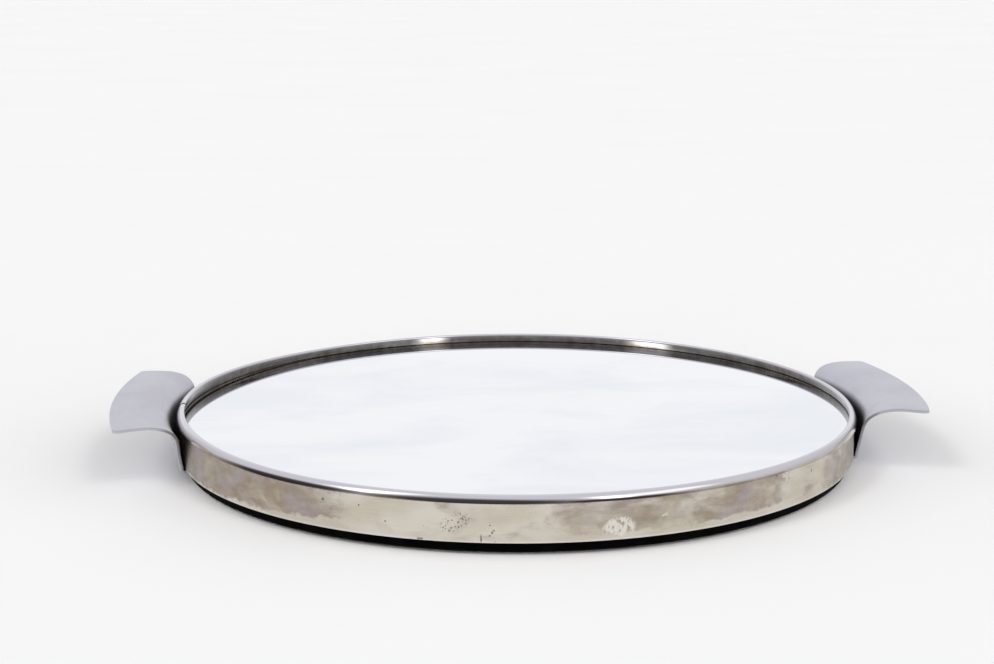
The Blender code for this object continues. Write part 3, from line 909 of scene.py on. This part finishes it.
@dataclass
class RimHoop:
    """The rolled strip round the tray: wall, crease, domed bead and the lip over the glass."""

    sheet: float = 0.0007
    edge_round: float = 0.0003
    bead_proud: float = 0.00115
    bead_height: float = 0.0031
    bead_start_degrees: float = 24.0
    under_round: float = 0.00012
    lip_bend: float = 0.00025
    lip_undercut_degrees: float = 13.0
    lip_slot: float = 0.0004
    fit: float = 0.0003
    seam_gap: float = 0.0004
    sprung: tuple[Sprung, ...] = (Sprung(119.0, 172.0, 0.0, 0.0019), Sprung(180.0, 236.0, 0.0016, 0.0))
    dome_skip_degrees: float = 1.5
    dome_steps: int = 18
    bend_steps: int = 10
    steps: int = 480
    outer: float = field(init=False)
    foot: float = field(init=False)
    top: float = field(init=False)
    glass_top: float = field(init=False)

    def __post_init__(self) -> None:
        """Read the hoop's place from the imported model."""
        low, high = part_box("rim_hoop")
        self.foot = low.z
        self.top = high.z
        self.outer = high.y - self.bead_proud
        self.glass_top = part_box("mirror_glass")[1].z

    @property
    def crease(self) -> float:
        """Height of the crease under the bead."""
        return self.top - self.bead_height

    def section(self) -> list[Point]:
        """The section of the strip.

        Returns:
            Its points, from the lower outer edge round.
        """
        inside = self.outer - self.sheet
        bead_out = self.outer + self.bead_proud
        undercut = math.radians(self.lip_undercut_degrees)
        bend = self.sheet + self.lip_bend
        bend_height = self.top - bend
        lip_foot = self.glass_top + self.fit
        foot_out = inside - self.lip_slot
        foot_in = foot_out - self.sheet / math.cos(undercut)
        bend_end = foot_in - (bend_height - bend * math.sin(undercut) - lip_foot) * math.tan(undercut)
        crown = bend_end + bend * math.cos(undercut)
        start = math.radians(self.bead_start_degrees)
        dome = ((bead_out - crown) / math.cos(start), self.bead_height / (1 - math.sin(start)))
        dome_centre = (crown, self.top - dome[1])
        inner_dome = (dome[0] - self.sheet, dome[1] - self.sheet)
        hollow = self.crease + self.sheet - dome_centre[1]
        inner_end = math.degrees(math.asin(hollow / inner_dome[1]))
        turn = 180 + self.lip_undercut_degrees

        edge = (self.edge_round, self.edge_round)
        under = (self.under_round, self.under_round)
        points = arc((self.outer - edge[0], self.foot + edge[1]), edge, -90, 0, 5)
        points += arc((self.outer + under[0], self.crease - under[1]), under, 180, 90, 3)
        points += arc((bead_out - under[0], self.crease + under[1]), under, -90, 0, 4)[:-1]
        dome_start = self.bead_start_degrees + self.dome_skip_degrees
        points += arc(dome_centre, dome, dome_start, 90, self.dome_steps)
        points += arc((crown, bend_height), (bend, bend), 90, turn, self.bend_steps)[1:]
        points += [(foot_in, lip_foot), (foot_out, lip_foot)]
        points += arc((crown, bend_height), (self.lip_bend, self.lip_bend), turn, 90, 4)
        points += arc(dome_centre, inner_dome, 90, inner_end, 6)[1:]
        points += [(inside, self.crease + self.sheet), (inside, self.foot)]
        return points

    def lift(self, degrees: float) -> float:
        """How far the bead has sprung up.

        Args:
            degrees: Angle round the tray, from 0 to 360.

        Returns:
            The height above its place at rest.
        """
        height = 0.0
        for stretch in self.sprung:
            if degrees >= stretch.start_degrees:
                share = (degrees - stretch.start_degrees) / (stretch.end_degrees - stretch.start_degrees)
                share = 0.5 - 0.5 * math.cos(math.pi * min(share, 1.0))
                height = stretch.start_lift + (stretch.end_lift - stretch.start_lift) * share
        return height

    def spring(self, bm: bmesh.types.BMesh) -> None:
        """Raise the bead where it has sprung up, while the foot of the wall stays down.

        Args:
            bm: Mesh of the strip.
        """
        rest_height = bm.verts.layers.float.new(REST_HEIGHT)
        for vert in bm.verts:
            vert[rest_height] = vert.co.z
            degrees = math.degrees(math.atan2(vert.co.y, vert.co.x)) % 360.0
            share = min((vert.co.z - self.foot) / (self.crease - self.foot), 1.0)
            vert.co.z += self.lift(degrees) * share

    def build(self) -> None:
        """Spin the section from one end of the strip to the other and close both ends."""
        bm = bmesh.new()
        first = chain(bm, self.section(), closed=True)
        gap = self.seam_gap / self.outer
        bmesh.ops.rotate(bm, verts=bm.verts, cent=(0, 0, 0),
                         matrix=Matrix.Rotation(math.pi + gap / 2, 3, "Z"))
        bmesh.ops.spin(bm, geom=first, cent=(0, 0, 0), axis=(0, 0, 1), angle=math.tau - gap,
                       steps=self.steps, use_duplicate=False)
        bmesh.ops.holes_fill(bm, edges=[edge for edge in bm.edges if edge.is_boundary], sides=0)
        self.spring(bm)
        finish = NickelPlate(self.outer, self.foot, self.crease, self.top)
        seat(finished("rim_strip", bm, finish.make()), "rim_hoop")


@dataclass
class Handle:
    """One handle, a single bent sheet: flange, foot bend, leaning web, flared lip and drooping tip."""

    side: Side
    sheet: float = 0.0012
    width: float = 0.1140
    tip_corner: float = 0.0028
    tip_corner_out: float = 0.0028
    foot_width: float = 0.0755
    taper_length: float = 0.0250
    foot_gap: float = 0.0007
    foot_bend: float = 0.0006
    web_height: float = 0.0130
    web_lean: float = 0.0024
    crest_out: float = 0.0145
    crest_rise: float = 0.0090
    crest_pull: float = 0.0085
    web_pull: float = 0.0060
    tip_droop: float = 0.0004
    tip_pull: float = 0.0042
    right_tilt: float = 0.0016
    flange_length: float = 0.0300
    flange_corner: float = 0.0080
    edge_round: float = 0.0003
    edge_segments: int = 3
    edge_limit_degrees: float = 50.0
    screw_count: int = 3
    screw_pitch: float = 0.0200
    screw_inset: float = 0.0140
    screw_hole: float = 0.0018
    hole_segments: int = 32
    crevice_start: float = 0.0034
    crevice_end: float = 0.0055
    steps: int = 72
    foot_steps: int = 8
    web_steps: int = 10
    flare_steps: int = 24
    droop_steps: int = 48
    corner_steps: int = 10
    hoop_radius: float = field(init=False)
    hoop_foot: float = field(init=False)
    flange_bottom: float = field(init=False)
    tip: float = field(init=False)

    def __post_init__(self) -> None:
        """Read the handle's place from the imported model."""
        low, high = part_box("handle_right")
        hoop = RimHoop()
        self.hoop_radius = hoop.outer
        self.hoop_foot = hoop.foot
        self.flange_bottom = low.z
        self.tip = high.x

    @property
    def foot_radius(self) -> float:
        """Radius of the sheet's outer face at the foot of the web."""
        return self.hoop_radius + self.foot_gap + self.sheet

    @property
    def flange_end(self) -> float:
        """Radius at which the flange ends under the board."""
        return self.hoop_radius - self.flange_length

    def corner_rows(self, corner: float) -> list[float]:
        """Distances from an end of the sheet at which its rounded corner needs a row."""
        steps = self.corner_steps
        return [corner * (1 - math.cos(math.radians(90 * k / steps))) for k in range(steps + 1)]

    def outline(self) -> tuple[list[Point], list[Point]]:
        """Outer face of the sheet along its middle.

        Returns:
            The points of the flange and the foot bend, and those of the web, the flare and the droop.
        """
        bend = self.foot_bend + self.sheet
        bend_centre = (self.foot_radius - bend, self.flange_bottom + bend)
        flange = [(self.flange_end + row, self.flange_bottom) for row in self.corner_rows(self.flange_corner)]
        foot = arc(bend_centre, (bend, bend), -90, 0, self.foot_steps)
        web_bottom = Vector(foot[-1])
        web_top = Vector((self.foot_radius + self.web_lean, self.hoop_foot + self.web_height))
        crest = web_top + Vector((self.crest_out, self.crest_rise))
        tip = Vector((self.tip, crest.y - self.tip_droop))
        lean = (web_top - web_bottom).normalized()
        web = [web_bottom.lerp(web_top, k / self.web_steps) for k in range(1, self.web_steps)]
        flare = interpolate_bezier(web_top, web_top + lean * self.web_pull,
                                   crest - Vector((self.crest_pull, 0)), crest, self.flare_steps)
        droop = interpolate_bezier(crest, crest + Vector((self.tip_pull, 0)),
                                   tip - Vector((self.tip_pull, 0)), tip, self.droop_steps)
        return flange + foot, [tuple(point) for point in web + flare + self.along_droop(droop)]

    def along_droop(self, droop: list[Vector]) -> list[Vector]:
        """Points of the droop, close together where the rounded corner needs rows.

        Args:
            droop: Fine points from the crest to the tip.

        Returns:
            The points that are kept.
        """
        kept = []
        for row in reversed(self.corner_rows(self.tip_corner)):
            radius = droop[-1].x - row
            for before, after in zip(droop, droop[1:]):
                if before.x <= radius <= after.x:
                    kept.append(before.lerp(after, (radius - before.x) / (after.x - before.x)))
                    break
        return [point for point in droop[2::3] if point.x < kept[0].x - self.sheet / 2] + kept

    @staticmethod
    def inset(distance: float, corner: float) -> float:
        """How far a side edge is drawn in at a distance from an end with rounded corners."""
        left = min(max(corner - distance, 0.0), corner)
        return corner - math.sqrt(corner ** 2 - left ** 2)

    def half_angles(self, lower: list[Point], upper: list[Point]) -> list[float]:
        """Half the angle that the sheet spans at each point of its outline.

        Args:
            lower: Points of the flange and the foot.
            upper: Points of the web, the flare and the droop.

        Returns:
            The angles, in the same order.
        """
        foot = math.asin(self.foot_width / 2 / self.foot_radius)
        lip = math.asin(self.width / 2 / self.tip)
        angles = [foot - self.inset(radius - self.flange_end, self.flange_corner) / radius
                  for radius, _ in lower]
        length = 0.0
        before = lower[-1]
        for radius, height in upper:
            length += math.dist(before, (radius, height))
            before = (radius, height)
            share = 0.5 - 0.5 * math.cos(math.pi * min(length / self.taper_length, 1.0))
            drawn_in = self.inset(self.tip - radius, self.tip_corner) / radius
            angles.append(foot + (lip - foot) * share - drawn_in)
        return angles

    def sheet_mesh(self) -> bmesh.types.BMesh:
        """Spin the sheet's outer face, fit each row to its width and bend the lip.

        Returns:
            The open mesh.
        """
        lower, upper = self.outline()
        bm = bmesh.new()
        span = bm.verts.layers.float.new("span")
        first = chain(bm, lower + upper, closed=False)
        for vert, angle in zip(first, self.half_angles(lower, upper)):
            vert[span] = angle
        bmesh.ops.spin(bm, geom=first, cent=(0, 0, 0), axis=(0, 0, 1), angle=1.0, steps=self.steps,
                       use_duplicate=False)
        tilt = self.right_tilt if self.side is Side.RIGHT else 0.0
        web_end = self.foot_radius + self.web_lean
        for vert in bm.verts:
            radius = math.hypot(vert.co.x, vert.co.y)
            angle = (2 * math.atan2(vert.co.y, vert.co.x) - 1.0) * vert[span]
            across = radius * math.sin(angle) / (self.width / 2)
            outward = max(radius - web_end, 0.0) / (self.tip - web_end)
            upward = max(vert.co.z - self.hoop_foot, 0.0) / (self.web_height + self.crest_rise)
            vert.co.x = radius * math.cos(angle) + self.tip_corner_out * outward * across ** 2
            vert.co.y = radius * math.sin(angle)
            vert.co.z -= tilt * upward * across
        bmesh.ops.recalc_face_normals(bm, faces=bm.faces)
        tip_face = max(bm.faces, key=lambda face: face.calc_center_median().x)
        if tip_face.normal.z > 0:
            bmesh.ops.reverse_faces(bm, faces=bm.faces)
        return bm

    def screw_holes(self) -> bpy.types.Object:
        """Make upright cutters for the holes in the flange.

        Returns:
            The cutters, as one object.
        """
        bm = bmesh.new()
        radius = self.hoop_radius - self.screw_inset
        for k in range(self.screw_count):
            angle = (k - (self.screw_count - 1) / 2) * self.screw_pitch / radius
            middle = (radius * math.cos(angle), radius * math.sin(angle), self.flange_bottom)
            bmesh.ops.create_cone(bm, cap_ends=True, segments=self.hole_segments,
                                  radius1=self.screw_hole, radius2=self.screw_hole,
                                  depth=4 * self.sheet, matrix=Matrix.Translation(middle))
        return finished("holes", bm, None)

    def mark_crevice_shade(self, mesh: bpy.types.Mesh) -> None:
        """Store at each vertex how much painted shade it gets in the crevice beside the hoop, from 0 to 1, by
        how deep it lies there and how far it faces up or in.

        Args:
            mesh: The finished sheet, before it is turned to its side.
        """
        layer = mesh.attributes.new(CREVICE_SHADE, "FLOAT", "POINT")
        for vert in mesh.vertices:
            radius = math.hypot(vert.co.x, vert.co.y)
            outward = (vert.normal.x * vert.co.x + vert.normal.y * vert.co.y) / radius
            facing = min(max(vert.normal.z, 0.0) - outward, 1.0)
            depth = (self.hoop_radius + self.crevice_end - radius) / (self.crevice_end - self.crevice_start)
            depth = min(max(depth, 0.0), 1.0)
            layer.data[vert.index].value = max(facing, 0.0) * depth * depth * (3.0 - 2.0 * depth)

    def build(self, material: bpy.types.Material) -> None:
        """Give the sheet its thickness, holes and rounded edges.

        Args:
            material: The satin plate.
        """
        name = "handle_sheet_" + self.side.value
        bm = self.sheet_mesh()
        mesh = bpy.data.meshes.new(name)
        bm.to_mesh(mesh)
        bm.free()
        mesh.materials.append(material)
        piece = added(name, mesh)
        wall = piece.modifiers.new("wall", "SOLIDIFY")
        wall.thickness = self.sheet
        wall.offset = -1
        wall.use_even_offset = True
        holes = self.screw_holes()
        cut = piece.modifiers.new("holes", "BOOLEAN")
        cut.solver = "EXACT"
        cut.object = holes
        edges = piece.modifiers.new("edges", "BEVEL")
        edges.width = self.edge_round
        edges.segments = self.edge_segments
        edges.limit_method = "ANGLE"
        edges.angle_limit = math.radians(self.edge_limit_degrees)
        settle(piece)
        bpy.data.objects.remove(holes)
        self.mark_crevice_shade(piece.data)
        piece.data.transform(Matrix.Rotation(self.side.turn, 4, "Z"))
        smooth(piece.data)
        seat(piece, "handle_" + self.side.value)


@dataclass
class RoundPlate:
    """A flat disc with rounded edges that fills the place of a round node."""

    name: str
    node: str
    slot: str
    edge_round: float
    edge_steps: int = 5
    steps: int = 360

    def mesh(self) -> bmesh.types.BMesh:
        """Turn the disc's section between the heights and at the radius of its node.

        Returns:
            The closed mesh.
        """
        low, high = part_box(self.node)
        radius = high.y
        edge = (self.edge_round, self.edge_round)
        level = radius - 2 * edge[0]
        points = [(0.0, low.z), (level, low.z)]
        points += arc((radius - edge[0], low.z + edge[1]), edge, -90, 0, self.edge_steps)
        points += arc((radius - edge[0], high.z - edge[1]), edge, 0, 90, self.edge_steps)
        points += [(level, high.z), (0.0, high.z)]
        bm = bmesh.new()
        bmesh.ops.spin(bm, geom=chain(bm, points, closed=False), cent=(0, 0, 0), axis=(0, 0, 1),
                       angle=math.tau, steps=self.steps, use_merge=True, use_duplicate=False)
        bmesh.ops.remove_doubles(bm, verts=bm.verts, dist=WELD)
        return bm

    def build(self, material: bpy.types.Material) -> None:
        """Make the disc in its node's place."""
        seat(finished(self.name, self.mesh(), material), self.node)


@dataclass(frozen=True)
class Lamp:
    """A soft far lamp that lights the whole floor alike."""

    name: str
    degrees: float
    elevation_degrees: float
    level: float
    spread_degrees: float = 16.0

    def build(self) -> None:
        """Hang the lamp so that it alone would light a white floor to its level."""
        turn = math.radians(self.degrees)
        rise = math.radians(self.elevation_degrees)
        towards = Vector((math.cos(turn) * math.cos(rise), math.sin(turn) * math.cos(rise), math.sin(rise)))
        data = bpy.data.lights.new(self.name, "SUN")
        data.angle = math.radians(self.spread_degrees)
        data.energy = self.level * math.pi / math.sin(rise)
        lamp = added(self.name, data)
        lamp.location = towards
        lamp.rotation_mode = "QUATERNION"
        lamp.rotation_quaternion = towards.to_track_quat("Z", "Y")
        lamp.visible_glossy = False


@dataclass(frozen=True)
class Window:
    """A bright window of the room as polished metal shows it, counted from the camera's side."""

    degrees: float
    half_width: float
    low: float
    high: float
    glow: float


@dataclass
class Studio:
    """Floor, lamps, world and camera."""

    floor_radius: float = 60.0
    floor_segments: int = 128
    fill_low: float = 1.95
    fill_high: float = 0.235
    fill_front: float = 0.75
    lamps: tuple[Lamp, ...] = (Lamp("lamp_left", -144.0, 47.0, 0.12), Lamp("lamp_right", -57.0, 46.0, 0.10))
    windows: tuple[Window, ...] = (Window(46.0, 24.0, 32.0, 50.0, 1.6), Window(-64.0, 15.0, 34.0, 62.0, 1.7),
                                   Window(30.0, 5.0, 26.0, 46.0, 3.0), Window(-61.0, 7.0, 30.0, 50.0, 3.0))
    backdrop: Colour = (0.935, 0.935, 0.945)
    far_wall: Colour = (0.975, 0.980, 1.000)
    low_room: Colour = (0.300, 0.290, 0.300)
    sides: Colour = (0.680, 0.660, 0.690)
    ceiling: Colour = (0.900, 0.890, 0.920)
    low_room_left_degrees: Point = (-112.0, -92.0)
    low_room_right_degrees: Point = (60.0, 84.0)
    ceiling_degrees: Point = (-3.0, 36.0)
    far_wall_degrees: Point = (138.0, 154.0)
    window_edge: float = 5.0
    lens: float = 68.813
    sensor: float = 36.0
    nearest: float = 0.01
    camera_place: Axes = (-0.070168, -0.828911, 0.227413)
    camera_heading_degrees: float = -4.243
    camera_pitch_degrees: float = 11.659
    camera_roll_degrees: float = -0.113

    def build_floor(self) -> None:
        """Lay a plain round floor."""
        bm = bmesh.new()
        bmesh.ops.create_circle(bm, cap_ends=True, segments=self.floor_segments,
                                radius=self.floor_radius)
        floor = finished("floor", bm, PaleTable().make())

    def surroundings(self, graph: Graph) -> Tint:
        """What polished metal shows: a white wall behind the tray and a pale room with two windows.

        Args:
            graph: Tree of the world.

        Returns:
            The colour in the direction that is looked up, with the turn counted from the camera's side.
        """
        x, y, z = graph.direction().split()
        turn = graph.math("ARCTAN2", x, 0.0 - y) * math.degrees(1.0)
        rise = graph.math("ARCSINE", z) * math.degrees(1.0)
        low = turn.rise(*self.low_room_left_degrees) * turn.fall(*self.low_room_right_degrees)
        room = graph.tint(self.sides).towards(self.low_room, low)
        room = room.towards(self.ceiling, rise.rise(*self.ceiling_degrees))
        for window in self.windows:
            off = (turn - window.degrees).size()
            edge = min(self.window_edge, window.half_width / 2)
            pane = off.fall(window.half_width - edge, window.half_width + edge)
            pane = pane * rise.rise(window.low - 4.0, window.low + 4.0)
            pane = pane * rise.fall(window.high - 6.0, window.high + 8.0)
            room = room.towards((window.glow, window.glow, window.glow), pane)
        return room.towards(self.far_wall, turn.size().rise(*self.far_wall_degrees))

    def build_world(self) -> None:
        """A fill that is brightest low down and from the camera's side, with the backdrop for the camera and
        the surroundings for reflections.
        """
        world = bpy.data.worlds.new("studio")
        world.use_nodes = True
        bpy.context.scene.world = world
        graph = Graph(world.node_tree)
        seen = graph.node("ShaderNodeLightPath")
        direct = Number(graph, seen.outputs["Is Camera Ray"])
        mirrored = Number(graph, seen.outputs["Is Glossy Ray"]).most(
            Number(graph, seen.outputs["Is Transmission Ray"]))
        _, back, rise = graph.direction().split()
        fill = self.fill_low + (self.fill_high - self.fill_low) * rise.most(0.0)
        fill = fill * (1.0 - self.fill_front * back)
        light = Tint(graph, graph.join(fill, fill, fill).socket).towards(self.surroundings(graph), mirrored)
        light = light.towards(self.backdrop, direct)
        background = graph.node("ShaderNodeBackground", {}, {"Color": light, "Strength": 1.0})
        output = graph.node("ShaderNodeOutputWorld")
        graph.tree.links.new(background.outputs[0], output.inputs["Surface"])

    def build_camera(self) -> None:
        """Set up the camera of the photograph."""
        data = bpy.data.cameras.new("camera")
        data.lens = self.lens
        data.sensor_width = self.sensor
        data.clip_start = self.nearest
        camera = added("camera", data)
        heading = Matrix.Rotation(math.radians(self.camera_heading_degrees), 4, "Z")
        pitch = Matrix.Rotation(math.radians(90.0 - self.camera_pitch_degrees), 4, "X")
        roll = Matrix.Rotation(math.radians(self.camera_roll_degrees), 4, "Z")
        camera.matrix_world = Matrix.Translation(self.camera_place) @ heading @ pitch @ roll
        bpy.context.scene.camera = camera

    def build(self) -> None:
        """Set up everything that isn't part of the tray."""
        bpy.context.scene.view_settings.view_transform = "Standard"
        self.build_world()
        self.build_floor()
        for lamp in self.lamps:
            lamp.build()
        self.build_camera()
        log.info("studio with %d lamps", len(self.lamps))


@dataclass
class KeptPieces:
    """The plinth and the pieces inside the tray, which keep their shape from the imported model."""

    steel: Fastener = Fastener("screw_steel", (0.42, 0.42, 0.43), (0.22, 0.21, 0.20))
    brass: Fastener = Fastener("pin_brass", (0.17, 0.13, 0.07), (0.08, 0.06, 0.04))

    def dress(self) -> None:
        """Give every node that is still shown its finish."""
        finishes = {"base_plinth": BlackLacquer().make(), "mirror_backing": GreyCard().make(),
                    "base_board": BoardWood().make()}
        steel = self.steel.make()
        brass = self.brass.make()
        for name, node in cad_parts.items():
            if "_screw_" in name:
                finishes[name] = steel
            elif "_pin_" in name:
                finishes[name] = brass
            if name in finishes:
                node.data.materials.clear()
                node.data.materials.append(finishes[name])
                log.info("%s keeps its shape", name)


def main() -> None:
    """Build the studio and the tray."""
    logging.basicConfig(level=logging.INFO, format="%(message)s")
    Studio().build()
    RimHoop().build()
    satin = SatinPlate().make()
    for side in Side:
        Handle(side).build(satin)
    RoundPlate("mirror_plate", "mirror_glass", "mirror_glass", 0.0005).build(MirrorGlass().make())
    RoundPlate("felt_disc", "felt_pad", "black_felt", 0.0003).build(BlackFelt().make())
    KeptPieces().dress()


if __name__ == "__main__":
    main()
